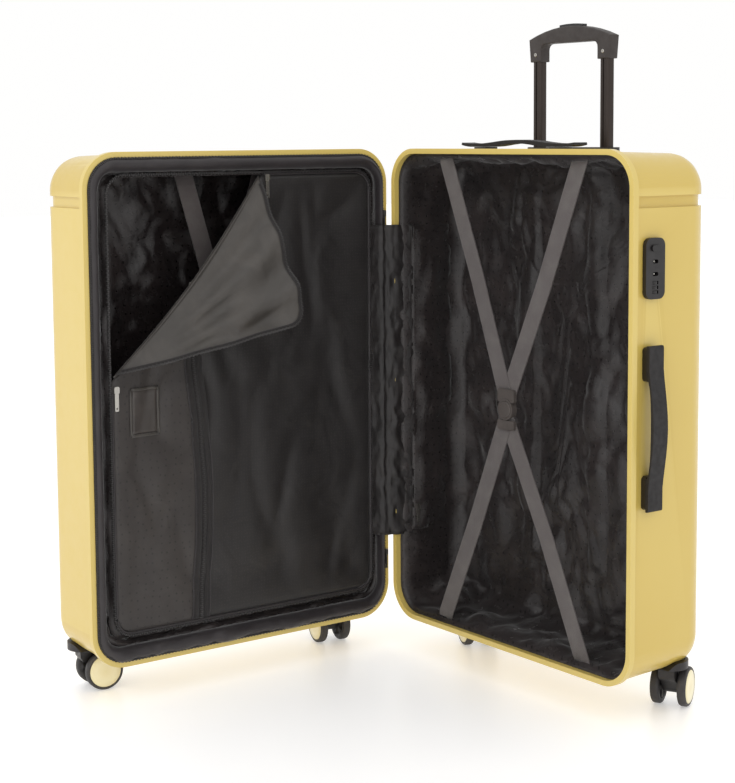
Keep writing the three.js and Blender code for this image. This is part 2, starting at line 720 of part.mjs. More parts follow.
const STRAP_FRONT = 12;
const STRAP_REAR = 15;
const STRAP_HIGH = 734;
const STRAP_LOW = 66;
const BUCKLE_HIGH = BUCKLE.z + 20;
const BUCKLE_LOW = BUCKLE.z - 20;
place(rear, 'strap_upper_left', strap(112, STRAP_HIGH, 246, BUCKLE_HIGH, STRAP_FRONT), WEBBING);
place(rear, 'strap_upper_right', strap(384, STRAP_HIGH, 254, BUCKLE_HIGH, STRAP_REAR), WEBBING);
place(rear, 'strap_lower_left', strap(107, STRAP_LOW, 246, BUCKLE_LOW, STRAP_FRONT), WEBBING);
place(rear, 'strap_lower_right', strap(394, STRAP_LOW, 254, BUCKLE_LOW, STRAP_REAR), WEBBING);
place(rear, 'buckle_body', buckleBody(), BLACK);
place(rear, 'buckle_tongue', buckleTongue(), BLACK);
place(rear, 'buckle_button', buckleButton(), BLACK);

place(rear, 'trolley_base', trolleyBase(), BLACK);
place(rear, 'trolley_bezel', trolleyBezel(), BLACK);
for (const [side, sign] of [['left', -1], ['right', 1]]) {
  const x = TROLLEY_X + (sign * TUBE_SPACING) / 2;
  place(rear, `outer_tube_${side}`, outerTube(), STEEL, x, TROLLEY_Y);
  place(rear, `inner_tube_${side}`, innerTube(), BRONZE, x, TROLLEY_Y);
  place(rear, `top_handle_foot_${side}`, topHandleFoot(WIDTH / 2 + sign * 77), BLACK);
}
place(rear, 'trolley_grip', trolleyGrip(), SOFT_BLACK, TROLLEY_X, TROLLEY_Y, GRIP_BOTTOM);
place(rear, 'trolley_button', trolleyButton(), BLACK, TROLLEY_X, TROLLEY_Y, GRIP_BOTTOM);
place(rear, 'top_handle', topHandle(), SOFT_BLACK);
place(rear, 'side_handle', sideHandle(), SOFT_BLACK);
place(rear, 'side_handle_foot_lower', sideHandleFoot(SIDE_HANDLE.bottom + 2), BLACK);
place(rear, 'side_handle_foot_upper', sideHandleFoot(SIDE_HANDLE.top - 46), BLACK);

place(rear, 'lock_housing', lockHousing(), BLACK);
place(rear, 'lock_button', lockButton(), BLACK);
DIAL.heights.forEach((z, i) => place(rear, `lock_dial_${i + 1}`, lockDial(z), SOFT_BLACK));

// Lid half
place(lid, 'front_shell', frontShell(), YELLOW);
place(lid, 'front_rim_trim', rimTrim(), YELLOW);
place(lid, 'zip_band', zipBand(), BLACK);
place(lid, 'front_lining', frontLining(), LINING);
place(lid, 'front_cross_strap', crossStrap(), WEBBING);
place(lid, 'divider_panel', dividerPanel(), DIVIDER_CLOTH);
place(lid, 'divider_corner_flap', dividerCornerFlap(), DIVIDER_CLOTH);

const SLIDER_FRONT = DIVIDER.front - GAP;
place(lid, 'divider_zip_slider_top', zipSlider(24), STEEL, 297, SLIDER_FRONT, 711);
place(lid, 'divider_zip_slider_side', zipSlider(24), STEEL, 50, SLIDER_FRONT, 430);
place(lid, 'divider_pocket_zip_slider', zipSlider(24), STEEL, 170, SLIDER_FRONT, 565);
for (const [name, z] of [['upper', 655], ['lower', 146]]) {
  const slider = place(lid, `main_zip_slider_${name}`, zipSlider(20), STEEL, 493.2, -4.5, z);
  slider.rotation.z = -Math.PI / 2;
}

// Casters. Hinge and lock name the side of the half that each stands under.
placeCaster(rear, 'rear_hinge_caster', REAR_CASTERS[0], REAR_DEPTH, 70);
placeCaster(rear, 'rear_lock_caster', REAR_CASTERS[1], REAR_DEPTH, 208);
placeCaster(lid, 'lid_lock_caster', LID_CASTERS[0], LID_DEPTH, 83);
placeCaster(lid, 'lid_hinge_caster', LID_CASTERS[1], LID_DEPTH, -11);

// The origin is the middle of the footprint, on the floor.
const bounds = new THREE.Box3().setFromObject(suitcase);
const centre = bounds.getCenter(new THREE.Vector3());
suitcase.position.set(-centre.x, -centre.y, -bounds.min.z);

export default suitcase;
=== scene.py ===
import math

import bpy
from mathutils import Matrix, Vector, noise


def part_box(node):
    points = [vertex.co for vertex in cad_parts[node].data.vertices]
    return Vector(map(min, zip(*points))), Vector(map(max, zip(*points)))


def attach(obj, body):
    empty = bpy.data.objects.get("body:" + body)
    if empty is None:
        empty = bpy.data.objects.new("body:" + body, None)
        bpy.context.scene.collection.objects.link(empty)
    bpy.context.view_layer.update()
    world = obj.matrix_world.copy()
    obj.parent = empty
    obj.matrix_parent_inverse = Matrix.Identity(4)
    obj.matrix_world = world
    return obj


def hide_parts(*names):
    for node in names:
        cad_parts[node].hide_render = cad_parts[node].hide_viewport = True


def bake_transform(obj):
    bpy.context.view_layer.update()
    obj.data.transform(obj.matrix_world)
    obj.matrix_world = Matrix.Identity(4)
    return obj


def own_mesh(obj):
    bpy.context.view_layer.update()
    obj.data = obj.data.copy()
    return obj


# The looks of a hard shell suitcase that stands open like a book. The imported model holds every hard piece;
# this script gives those their materials and makes the cloth, straps, zips, wheels and the studio.
#
# Each half has a frame of its own in millimetres: x across its mouth, y from the mouth inwards, z up.

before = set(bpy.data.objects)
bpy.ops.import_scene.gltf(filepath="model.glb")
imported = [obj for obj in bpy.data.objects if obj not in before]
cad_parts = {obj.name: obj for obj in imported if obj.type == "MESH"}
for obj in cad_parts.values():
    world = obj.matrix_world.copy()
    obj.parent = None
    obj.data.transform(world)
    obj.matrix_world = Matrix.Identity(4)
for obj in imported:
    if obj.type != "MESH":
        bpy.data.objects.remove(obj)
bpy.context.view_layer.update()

MM = 0.001
UP = Vector((0, 0, 1))
NOISE_SEED = 1

# Without a seed, noise_vector takes one from the clock, and every run crumples the cloth differently.
noise.seed_set(NOISE_SEED)


# ---------------------------------------------------------------- the two halves

class Half:
    """One half of the case: the body it rides on and its frame."""

    def __init__(self, body, corner, across, inwards):
        self.body = body
        self.corner = corner
        self.across = across
        self.inwards = inwards

    def at(self, x, y, z):
        """A place in this half, in the row frame."""
        return self.corner + (self.across * x + self.inwards * y + UP * z) * MM

    def place(self, point):
        """The opposite of at()."""
        rest = (point - self.corner) / MM
        return Vector((rest.dot(self.across), rest.dot(self.inwards), rest.z))

    def span(self, node):
        """Lowest and highest corner of a node in this half's frame."""
        a, b = (self.place(corner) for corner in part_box(node))
        return Vector(map(min, a, b)), Vector(map(max, a, b))


def rear_half():
    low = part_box("rear_rim_trim")[0]
    return Half("case", Vector((low.x, low.y, 0)), Vector((1, 0, 0)), Vector((0, 1, 0)))


def lid_half():
    low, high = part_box("front_rim_trim")
    return Half("lid", Vector((high.x, low.y, 0)), Vector((0, 1, 0)), Vector((-1, 0, 0)))


REAR = rear_half()
LID = lid_half()

RIM_LOW, RIM_HIGH = REAR.span("rear_rim_trim")
WIDTH = RIM_HIGH.x
BOTTOM = RIM_LOW.z
TOP = RIM_HIGH.z
MOUTH_RADIUS = 50
RIM_WIDTH = 7.5

BINDING_LOW = (24, BOTTOM + 26)
BINDING_HIGH = (WIDTH - 14, TOP - 27)
DIVIDER_ROUND = 24
DIVIDER_Y = 12.7
CARD_WINDOW = (73, 118, 364, 428)

# The loose corner is folded along a line between two points (x, z) of the lid.
FOLD_HIGH = (288, 716)
FOLD_LOW = (44, 442)
FOLD_LENGTH = math.dist(FOLD_HIGH, FOLD_LOW)
FOLD_DOWN = tuple((b - a) / FOLD_LENGTH for a, b in zip(FOLD_HIGH, FOLD_LOW))
FOLD_OUT = (-FOLD_DOWN[1], FOLD_DOWN[0])  # over the fold, towards the panel
FOLD_BOW = 13
CORNER_FOOT = (FOLD_HIGH[0] - FOLD_LOW[0]) ** 2 / FOLD_LENGTH
CORNER_REACH = (FOLD_HIGH[0] - FOLD_LOW[0]) * (FOLD_HIGH[1] - FOLD_LOW[1]) / FOLD_LENGTH
ROLL_LENGTH = 12
ROLL_TURN = math.radians(140)
LAST_TURN = math.radians(168)

# Name, x at the rim, x at the buckle, z at the rim, z at the buckle.
REAR_STRAPS = (
    ("strap_upper_left", 112, 247, 734, 406),
    ("strap_upper_right", 384, 249, 734, 406),
    ("strap_lower_left", 107, 247, 66, 376),
    ("strap_lower_right", 394, 249, 66, 376),
)


# ---------------------------------------------------------------- colours and node helpers

def rgb(red, green, blue):
    """A linear colour from the usual 0 to 255 values."""
    linear = []
    for value in (red, green, blue):
        share = value / 255
        linear.append(share / 12.92 if share <= 0.04045 else ((share + 0.055) / 1.055) ** 2.4)
    return (*linear, 1)


class Finish:
    """A material with a Principled shader, and short ways to add nodes to it."""

    def __init__(self, name, color, roughness, metallic=0.0, **shader):
        self.material = bpy.data.materials.new(name)
        self.material.use_nodes = True
        self.material.diffuse_color = color
        self.tree = self.material.node_tree
        self.shader = self.tree.nodes["Principled BSDF"]
        self.set(self.shader, {"Base Color": color, "Roughness": roughness, "Metallic": metallic})
        self.set(self.shader, {name.replace("_", " ").title(): v for name, v in shader.items()})

    def set(self, node, values):
        for key, value in values.items():
            socket = node.inputs[key]
            if isinstance(value, bpy.types.NodeSocket):
                self.tree.links.new(value, socket)
            else:
                socket.default_value = value

    def add(self, kind, values=None, **settings):
        node = self.tree.nodes.new("ShaderNode" + kind)
        for key, value in settings.items():
            setattr(node, key, value)
        self.set(node, values or {})
        return node

    def place(self, scale=(1, 1, 1)):
        """The point in metres on the object, stretched by scale."""
        where = self.add("TexCoord")
        mapping = self.add("Mapping", {"Vector": where.outputs["Object"], "Scale": scale})
        return mapping.outputs["Vector"]

    def speckle(self, size, detail=4, scale=(1, 1, 1), distortion=0.0):
        """Noise about 0.5 with features of size metres."""
        values = {"Vector": self.place(scale), "Scale": 1 / size, "Detail": detail}
        values.update({"Distortion": distortion, "Roughness": 0.55})
        return self.add("TexNoise", values).outputs["Fac"]

    def ramp(self, value, low, high, to_low=0.0, to_high=1.0):
        node = self.add("MapRange", {"Value": value, "From Min": low, "From Max": high})
        self.set(node, {"To Min": to_low, "To Max": to_high})
        return node.outputs["Result"]

    def mix(self, share, first, second):
        node = self.add("Mix", data_type="RGBA")
        self.set(node, {0: share})
        for index, value in ((6, first), (7, second)):
            socket = node.inputs[index]
            if isinstance(value, bpy.types.NodeSocket):
                self.tree.links.new(value, socket)
            else:
                socket.default_value = value
        return node.outputs[2]

    def sum(self, first, second, operation="ADD"):
        return self.add("Math", {0: first, 1: second}, operation=operation).outputs[0]

    def vary(self, share, other):
        """Blends the base colour towards another where share is 1."""
        now = self.shader.inputs["Base Color"]
        first = now.links[0].from_socket if now.links else tuple(now.default_value)
        self.set(self.shader, {"Base Color": self.mix(share, first, other)})

    def roughen(self, value, low, high, smooth, rough):
        self.set(self.shader, {"Roughness": self.ramp(value, low, high, smooth, rough)})

    def bump(self, height, distance):
        """Adds a bump on top of the ones there are. distance is in metres."""
        node = self.add("Bump", {"Height": height, "Distance": distance, "Strength": 1.0})
        now = self.shader.inputs["Normal"]
        if now.links:
            self.set(node, {"Normal": now.links[0].from_socket})
        self.set(self.shader, {"Normal": node.outputs["Normal"]})

    def weave(self, pitch, depth, slanted=False):
        """Two crossed sets of threads, over the flat directions of both halves."""
        where = self.add("SeparateXYZ", {0: self.place()})
        across = self.sum(where.outputs["X"], where.outputs["Y"])
        up = where.outputs["Z"]
        first, second = across, up
        if slanted:
            first = self.sum(across, up)
            second = self.sum(across, up, "SUBTRACT")
        waves = []
        for line in (first, second):
            angle = self.sum(line, 2 * math.pi / pitch, "MULTIPLY")
            waves.append(self.add("Math", {0: angle}, operation="SINE").outputs[0])
        woven = self.sum(waves[0], waves[1], "MULTIPLY")
        self.bump(woven, depth)
        return woven

    def dots(self, pitch, radius, other, share=0.6):
        """A small printed dot pattern over the flat directions of both halves."""
        where = self.add("SeparateXYZ", {0: self.place()})
        across = self.sum(where.outputs["X"], where.outputs["Y"])
        flat = self.add("CombineXYZ", {"X": across, "Y": where.outputs["Z"]})
        values = {"Vector": flat.outputs[0], "Scale": 1 / pitch, "Randomness": 0.45}
        cells = self.add("TexVoronoi", values, voronoi_dimensions="2D")
        inside = self.ramp(cells.outputs["Distance"], radius, radius * 0.6, 0.0, share)
        self.vary(inside, other)


# ---------------------------------------------------------------- materials

def shell_plastic(name, color, deep, edge_highlight):
    """Satin polycarbonate: a faint cloudiness, fine pearl grain and a painted highlight on its convex edges.
    """
    look = Finish(name, color, 0.34, coat_weight=0.35, coat_roughness=0.16)
    look.vary(look.ramp(look.speckle(0.22, 3), 0.35, 0.75, 0.0, 0.35), deep)
    edge = look.add("NewGeometry").outputs["Pointiness"]
    # Painted highlight: convex edges (high pointiness) are blended towards the lighter edge colour, as if
    # their rounding caught the light.
    look.vary(look.ramp(edge, 0.52, 0.62, 0.0, 0.5), edge_highlight)
    look.roughen(look.speckle(0.012, 5), 0.3, 0.7, 0.28, 0.4)
    look.bump(look.speckle(0.0011, 3), 0.00004)
    look.bump(look.speckle(0.06, 2), 0.0006)
    return look.material


def moulded_plastic(name, color, roughness, grain=0.0009):
    """Black moulded plastic with a spark-eroded grain and a painted grey highlight on its edges."""
    look = Finish(name, color, roughness)
    lighter = tuple(min(1, 2.6 * channel + 0.006) for channel in color[:3]) + (1,)
    edge = look.add("NewGeometry").outputs["Pointiness"]
    # Painted highlight: convex edges (high pointiness) are blended towards the lighter grey, as if their
    # rounding caught the light.
    look.vary(look.ramp(edge, 0.53, 0.66, 0.0, 0.55), lighter)
    look.vary(look.ramp(look.speckle(0.018, 4), 0.5, 0.8, 0.0, 0.25), lighter)
    look.roughen(look.speckle(0.01, 4), 0.3, 0.7, roughness * 0.8, roughness * 1.25)
    look.bump(look.speckle(grain, 2), 0.00005)
    return look.material


def cloth(name, color, light, roughness, thread, crumple, dots=None, sheen=0.25):
    """Thin woven polyester with fine crumples in its surface, and printed dots where asked for."""
    look = Finish(name, color, roughness, sheen_weight=sheen, sheen_roughness=0.4)
    look.vary(look.ramp(look.speckle(0.05, 5, distortion=0.6), 0.42, 0.72, 0.0, 0.7), light)
    if dots:
        look.dots(*dots)
    look.roughen(look.speckle(0.02, 3), 0.3, 0.7, roughness * 0.85, roughness * 1.2)
    look.bump(look.speckle(0.05, 2, distortion=0.9), 0.0035 * crumple)
    look.bump(look.speckle(0.022, 2, distortion=0.6), 0.0007 * crumple)
    look.weave(thread, 0.00005)
    return look.material


def webbing():
    """Polypropylene strap: ribs across it and a twill that shows as fine slanting lines."""
    look = Finish("strap_webbing", rgb(94, 86, 85), 0.55, sheen_weight=0.3, sheen_roughness=0.35)
    woven = look.weave(0.0024, 0.00025, slanted=True)
    look.vary(look.ramp(woven, -1, 1, 0.0, 0.55), rgb(60, 57, 55))
    look.vary(look.ramp(look.speckle(0.02, 4), 0.45, 0.75, 0.0, 0.4), rgb(112, 108, 104))
    return look.material


def zip_tape():
    look = Finish("zip_tape_cloth", rgb(26, 22, 22), 0.7, sheen_weight=0.1)
    look.vary(look.ramp(look.speckle(0.004, 3), 0.4, 0.7, 0.0, 0.5), rgb(44, 39, 38))
    look.weave(0.0016, 0.0002)
    return look.material


def rubber(name, color, dusty):
    look = Finish(name, color, 0.58)
    look.vary(look.ramp(look.speckle(0.03, 4), 0.42, 0.75, 0.0, 0.4), dusty)
    look.roughen(look.speckle(0.008, 4), 0.3, 0.7, 0.5, 0.72)
    look.bump(look.speckle(0.0007, 2), 0.00006)
    return look.material


def brushed_metal(name, color, roughness, lines):
    """Metal with drawing lines that run upwards."""
    look = Finish(name, color, roughness, 1.0)
    streaks = look.speckle(lines, 3, scale=(1, 1, 0.02))
    look.roughen(streaks, 0.3, 0.7, roughness * 0.75, roughness * 1.35)
    darker = tuple(0.6 * c for c in color[:3]) + (1,)
    look.vary(look.ramp(look.speckle(0.03, 3), 0.5, 0.8, 0.0, 0.3), darker)
    look.bump(streaks, 0.00003)
    return look.material


def studio_floor():
    white = rgb(255, 254, 252)
    look = Finish("studio_floor", rgb(232, 231, 231), 0.35, emission_color=white, emission_strength=0.36)
    look.vary(look.ramp(look.speckle(0.6, 2), 0.4, 0.7, 0.0, 0.2), rgb(227, 226, 226))
    look.roughen(look.speckle(0.2, 2), 0.3, 0.7, 0.3, 0.4)
    return look.material


DOT_PRINT = (0.012, 0.14, rgb(16, 13, 13), 0.75)
MESH_HOLES = (0.0048, 0.26, rgb(54, 49, 48), 0.45)
# The last colour given to each shell plastic is its painted edge highlight.
YELLOW = shell_plastic("shell_yellow", rgb(205, 178, 88), rgb(196, 163, 66), rgb(222, 200, 118))
RIM_YELLOW = shell_plastic("rim_yellow", rgb(212, 188, 104), rgb(202, 172, 82), rgb(228, 210, 138))
CREAM = shell_plastic("wheel_cap_cream", rgb(238, 226, 178), rgb(230, 216, 164), rgb(250, 244, 214))
BLACK = moulded_plastic("black_plastic", rgb(17, 14, 15), 0.36)
DARK_BLACK = moulded_plastic("caster_plastic", rgb(24, 21, 22), 0.42)
STRAP_PLASTIC = moulded_plastic("buckle_plastic", rgb(74, 68, 65), 0.5)
TYRE = rubber("tyre_rubber", rgb(50, 48, 49), rgb(92, 88, 84))
GRIP_RUBBER = rubber("grip_rubber", rgb(15, 11, 12), rgb(28, 23, 24))
TROLLEY_RUBBER = rubber("trolley_rubber", rgb(50, 44, 42), rgb(74, 68, 65))
LINING = cloth("lining_polyester", rgb(33, 28, 28), rgb(54, 47, 46), 0.24, 0.0011, 0.8, DOT_PRINT)
HINGE_CLOTH = cloth("hinge_polyester", rgb(23, 19, 19), rgb(38, 33, 32), 0.36, 0.0011, 1.0, DOT_PRINT)
DIVIDER_DARK = cloth("divider_satin", rgb(25, 22, 22), rgb(34, 31, 30), 0.42, 0.0014, 0.35, MESH_HOLES)
DIVIDER_PRINT = cloth("divider_print", rgb(47, 42, 40), rgb(59, 54, 51), 0.44, 0.0014, 0.4, DOT_PRINT)
FLAP_INSIDE = cloth("divider_inside", rgb(56, 52, 48), rgb(74, 69, 64), 0.34, 0.0012, 0.7)
EDGE_CLOTH = cloth("edge_binding", rgb(36, 31, 33), rgb(50, 45, 46), 0.42, 0.0012, 0.25)
WEBBING = webbing()
TAPE = zip_tape()
BRONZE = brushed_metal("tube_bronze", rgb(66, 60, 57), 0.3, 0.0006)
STEEL = brushed_metal("tube_steel", rgb(180, 178, 172), 0.35, 0.0006)
ZINC = brushed_metal("zinc_metal", rgb(172, 169, 163), 0.26, 0.0012)
CLEAR_FILM = moulded_plastic("card_film", rgb(60, 55, 52), 0.42)
TEETH = moulded_plastic("zip_teeth", rgb(58, 56, 56), 0.4)


# ---------------------------------------------------------------- mesh helpers

def new_piece(name, points, faces, material, smooth=True):
    mesh = bpy.data.meshes.new(name)
    mesh.from_pydata([tuple(p) for p in points], [], faces)
    mesh.materials.append(material)
    mesh.update()
    for polygon in mesh.polygons:
        polygon.use_smooth = smooth
    piece = bpy.data.objects.new(name, mesh)
    bpy.context.scene.collection.objects.link(piece)
    return piece


def grid_faces(rows, columns, wrap=False):
    faces = []
    last = columns if wrap else columns - 1
    for r in range(rows - 1):
        for c in range(last):
            d = (c + 1) % columns
            faces.append((r * columns + c, r * columns + d, (r + 1) * columns + d, (r + 1) * columns + c))
    return faces


def sheet_piece(name, rows, material, wrap=False, thick=0.0012):
    """A cloth through rows of points, with a thickness."""
    points = [p for row in rows for p in row]
    piece = new_piece(name, points, grid_faces(len(rows), len(rows[0]), wrap), material)
    body = piece.modifiers.new("thickness", "SOLIDIFY")
    body.thickness = thick
    body.offset = 0.0
    return piece


def joined(name, pieces):
    """Several meshes as one piece, which keeps the first one's materials, slot and modifiers."""
    first = pieces[0]
    bpy.ops.object.select_all(action="DESELECT")
    for piece in pieces:
        piece.select_set(True)
    bpy.context.view_layer.objects.active = first
    bpy.ops.object.join()
    first.name = name
    return first


def smoothstep(value, low, high):
    share = min(1.0, max(0.0, (value - low) / (high - low)))
    return share * share * (3 - 2 * share)


def crease(point, size, seed):
    """Sharp folds with soft bowls between them, from about 0 to 1, for a point in metres."""
    q = Vector(point) / size + Vector((seed * 7.3, seed * 3.1, seed * 5.7))
    bent = q + noise.noise_vector(q * 0.7) * 0.8
    return 1 - min(1.0, 2.2 * abs(noise.noise(bent)))


def pillows(point, size, seed):
    """Soft bowls with sharp valleys between them, from about 0 to 1, for a point in metres."""
    q = Vector((point.x, point.y, point.z * 0.7)) / size + Vector((seed * 7.3, seed * 3.1, seed * 5.7))
    bent = q + noise.noise_vector(q * 0.8) * 0.6
    nearest, second = noise.voronoi(bent)[0][:2]
    return min(1.0, 1.6 * (second - nearest))


def crumple(piece, height, size, seed, mask=None):
    """Pushes the points of a mesh along their normals into cloth folds. height is in metres."""
    normals = [v.normal.copy() for v in piece.data.vertices]
    for vertex, normal in zip(piece.data.vertices, normals):
        share = mask(vertex.co) if mask else 1.0
        if share > 0:
            big = pillows(vertex.co, size, seed)
            small = pillows(vertex.co, size * 0.45, seed + 1)
            vertex.co += normal * height * share * (0.85 * big + 0.4 * small - 0.2)


def ring(low, high, radius, corner=8, side=84, end=60):
    """Points (x, z) round a rounded rectangle, from the left of its bottom edge, always as many."""
    r = max(0.5, min(radius, (high[0] - low[0]) / 2 - 0.1, (high[1] - low[1]) / 2 - 0.1))
    middles = [
        (high[0] - r, low[1] + r, -0.5),
        (high[0] - r, high[1] - r, 0.0),
        (low[0] + r, high[1] - r, 0.5),
        (low[0] + r, low[1] + r, 1.0),
    ]
    points = []
    for index, (x, z, start) in enumerate(middles):
        arc = [math.pi * (start + 0.5 * i / corner) for i in range(corner + 1)]
        points += [(x + r * math.cos(a), z + r * math.sin(a)) for a in arc]
        nx, nz, following = middles[(index + 1) % 4]
        a = math.pi * following
        to = (nx + r * math.cos(a), nz + r * math.sin(a))
        count = side if index % 2 == 0 else end
        x0, z0 = points[-1]
        points += [(x0 + (to[0] - x0) * i / count, z0 + (to[1] - z0) * i / count) for i in range(1, count)]
    return points


def mouth_ring(inset):
    """The mouth's outline drawn in by inset."""
    return ring((inset, BOTTOM + inset), (WIDTH - inset, TOP - inset), max(MOUTH_RADIUS - inset, 6))


def between(first, second, share):
    """The outline that lies share of the way from the first outline to the second."""
    return [(a + (c - a) * share, b + (d - b) * share) for (a, b), (c, d) in zip(first, second)]


def along(points, spacing):
    """Even steps along a line through points, as (point, direction) pairs."""
    steps = []
    left = 0.0
    for a, b in zip(points, points[1:]):
        length = (b - a).length
        if length < 1e-9:
            continue
        direction = (b - a) / length
        while left < length:
            steps.append((a + direction * left, direction))
            left += spacing
        left -= length
    return steps


def zip_chain(name, points, facing, spacing=0.003, width=0.0046, thick=0.0016):
    """The closed teeth of a zip along a line. facing is the way they look, or a function of the point."""
    corners = []
    faces = []
    for index, (point, direction) in enumerate(along(points, spacing)):
        out = facing(point) if callable(facing) else facing
        side = direction.cross(out).normalized()
        shift = side * width * (0.12 if index % 2 else -0.12)
        first = len(corners)
        for dz in (0.0, thick):
            narrow = 1.0 if dz == 0 else 0.7
            for da, ds in ((-1, -1), (1, -1), (1, 1), (-1, 1)):
                along_part = direction * da * spacing * 0.36 * narrow
                corners.append(point + shift + along_part + side * ds * width / 2 * narrow + out * dz)
        faces.append(tuple(first + i for i in (3, 2, 1, 0)))
        faces.append(tuple(first + i for i in (4, 5, 6, 7)))
        for i in range(4):
            j = (i + 1) % 4
            faces.append((first + i, first + j, first + 4 + j, first + 4 + i))
    return new_piece(name, corners, faces, TEETH, smooth=False)


def ribbon(name, points, facing, width, material, thick=0.0006):
    """A flat band along a line of points, facing the same way all along it."""
    left = []
    right = []
    for index, point in enumerate(points):
        before = points[max(0, index - 1)]
        after = points[min(len(points) - 1, index + 1)]
        side = (after - before).cross(facing).normalized() * width / 2
        left.append(point - side)
        right.append(point + side)
    return sheet_piece(name, [left, points, right], material, thick=thick)


def piping(name, points, radius, material):
    """A thin corded edge along a line, as a closed-ended tube."""
    rows = []
    sides = 6
    for index, point in enumerate(points):
        before = points[max(0, index - 1)]
        after = points[min(len(points) - 1, index + 1)]
        direction = (after - before).normalized()
        first = direction.orthogonal() if abs(direction.z) > 0.99 else direction.cross(UP)
        first.normalize()
        second = direction.cross(first)
        turn = [2 * math.pi * i / sides for i in range(sides)]
        rows.append([point + (first * math.cos(a) + second * math.sin(a)) * radius for a in turn])
    points = [p for row in rows for p in row]
    faces = grid_faces(len(rows), sides, wrap=True)
    faces.append(tuple(range(sides)))
    faces.append(tuple(range(len(points) - 1, len(points) - sides - 1, -1)))
    return new_piece(name, points, faces, material)


def turned(name, profile, centre, axis, material, segments=56, shape=None):
    """A turned piece from (radius, height along axis) points in millimetres. shape can move its points."""
    first = axis.orthogonal().normalized()
    if abs(axis.z) < 0.9:
        first = axis.cross(UP).normalized()
    second = axis.cross(first)
    rows = []
    for radius, height in profile:
        row = []
        for i in range(segments):
            angle = 2 * math.pi * i / segments
            h = shape(radius, height, angle) if shape else height
            spoke = first * math.cos(angle) + second * math.sin(angle)
            row.append(centre + (spoke * radius + axis * h) * MM)
        rows.append(row)
    points = [p for row in rows for p in row]
    faces = grid_faces(len(rows), segments, wrap=True)
    return new_piece(name, points, faces, material)


def soften(node, width=0.0005, angle=32):
    """Smooth shading and small rounded edges on a hard piece."""
    for polygon in node.data.polygons:
        polygon.use_smooth = True
    if "custom_normal" in node.data.attributes:
        node.data.attributes.remove(node.data.attributes["custom_normal"])
    weld = node.modifiers.new("weld", "WELD")
    weld.merge_threshold = 0.00002
    bevel = node.modifiers.new("edges", "BEVEL")
    bevel.width = width
    bevel.segments = 2
    bevel.limit_method = "ANGLE"
    bevel.angle_limit = math.radians(angle)
    bevel.use_clamp_overlap = True
    even = node.modifiers.new("normals", "WEIGHTED_NORMAL")
    even.keep_sharp = True
    even.weight = 60


# ---------------------------------------------------------------- the hard pieces

def paint(node, material, width=0.0005):
    mesh = node.data
    mesh.materials.clear()
    mesh.materials.append(material)
    soften(node, width)


def hard_pieces():
    """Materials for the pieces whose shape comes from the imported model."""
    groups = {
        "shell": (YELLOW, 0.0006),
        "rim_trim": (RIM_YELLOW, 0.0009),
        "trolley_grip": (TROLLEY_RUBBER, 0.0012),
        "inner_tube": (BRONZE, 0.0005),
        "outer_tube": (STEEL, 0.0004),
        "zip_slider": (ZINC, 0.0003),
        "dial": (BLACK, 0.0003),
        "buckle": (STRAP_PLASTIC, 0.0008),
        "handle": (GRIP_RUBBER, 0.0012),
        "handle_foot": (BLACK, 0.0012),
        "housing": (DARK_BLACK, 0.0008),
        "fork": (DARK_BLACK, 0.001),
        "lock": (BLACK, 0.0012),
        "trolley_b": (BLACK, 0.0012),
    }
    for name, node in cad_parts.items():
        chosen = [key for key in groups if key in name]
        if chosen:
            material, width = groups[max(chosen, key=len)]
            paint(node, material, width)


# ---------------------------------------------------------------- linings

REAR_WALL = 13.5  # how far the lining's walls stand in from the mouth's outline
CASTER_SPAN = 46  # the lining is lifted over the casters in from the side walls this far
CASTER_LIFT = 14


def lifted(x, y, z, back):
    """Height over the floor of a lining point, raised where the caster recesses push the shell up."""
    side = smoothstep(min(x, WIDTH - x), CASTER_SPAN + 44, CASTER_SPAN + 6)
    inwards = smoothstep(y, back - 62, back - 34)
    low = smoothstep(z, BOTTOM + 62, BOTTOM + 18)
    return z + CASTER_LIFT * side * inwards * low


def lining_tray(half, profile, name, step=6):
    """A half's lining: rings down its walls, then in to the middle of its back."""
    inset, back = profile[-1]
    while inset + step < WIDTH / 2 - 4:
        inset += step
        profile = profile + [(inset, back)]
    rows = []
    for inset, y in profile:
        outline = mouth_ring(inset)
        rows.append([half.at(x, y, lifted(x, y, z, back)) for x, z in outline])
    piece = sheet_piece(name, rows, LINING, wrap=True, thick=0.0008)
    close_end(piece, len(rows[-1]))
    return piece


def close_end(piece, count):
    """Fills the slot inside the last ring with quads between its two sides."""
    mesh = piece.data
    points = [v.co.copy() for v in mesh.vertices]
    faces = [tuple(p.vertices) for p in mesh.polygons]
    first = len(points) - count
    for i in range(count // 2):
        j = (i + 1) % count
        faces.append((first + i, first + j, first + count - 1 - j, first + count - 1 - i))
    mesh.clear_geometry()
    mesh.from_pydata(points, [], faces)
    for polygon in mesh.polygons:
        polygon.use_smooth = True
    mesh.update()


def channel(x, from_z, to_z, width, height, back):
    """How far the back of the rear lining stands out over the telescopic handle's tubes."""

    def lift(place):
        across = smoothstep(abs(place.x - x), width, width - 7)
        upright = smoothstep(place.z, from_z, from_z + 20) * smoothstep(place.z, to_z, to_z - 20)
        deep = smoothstep(place.y, back - 12, back - 2)
        return height * across * upright * deep

    return lift


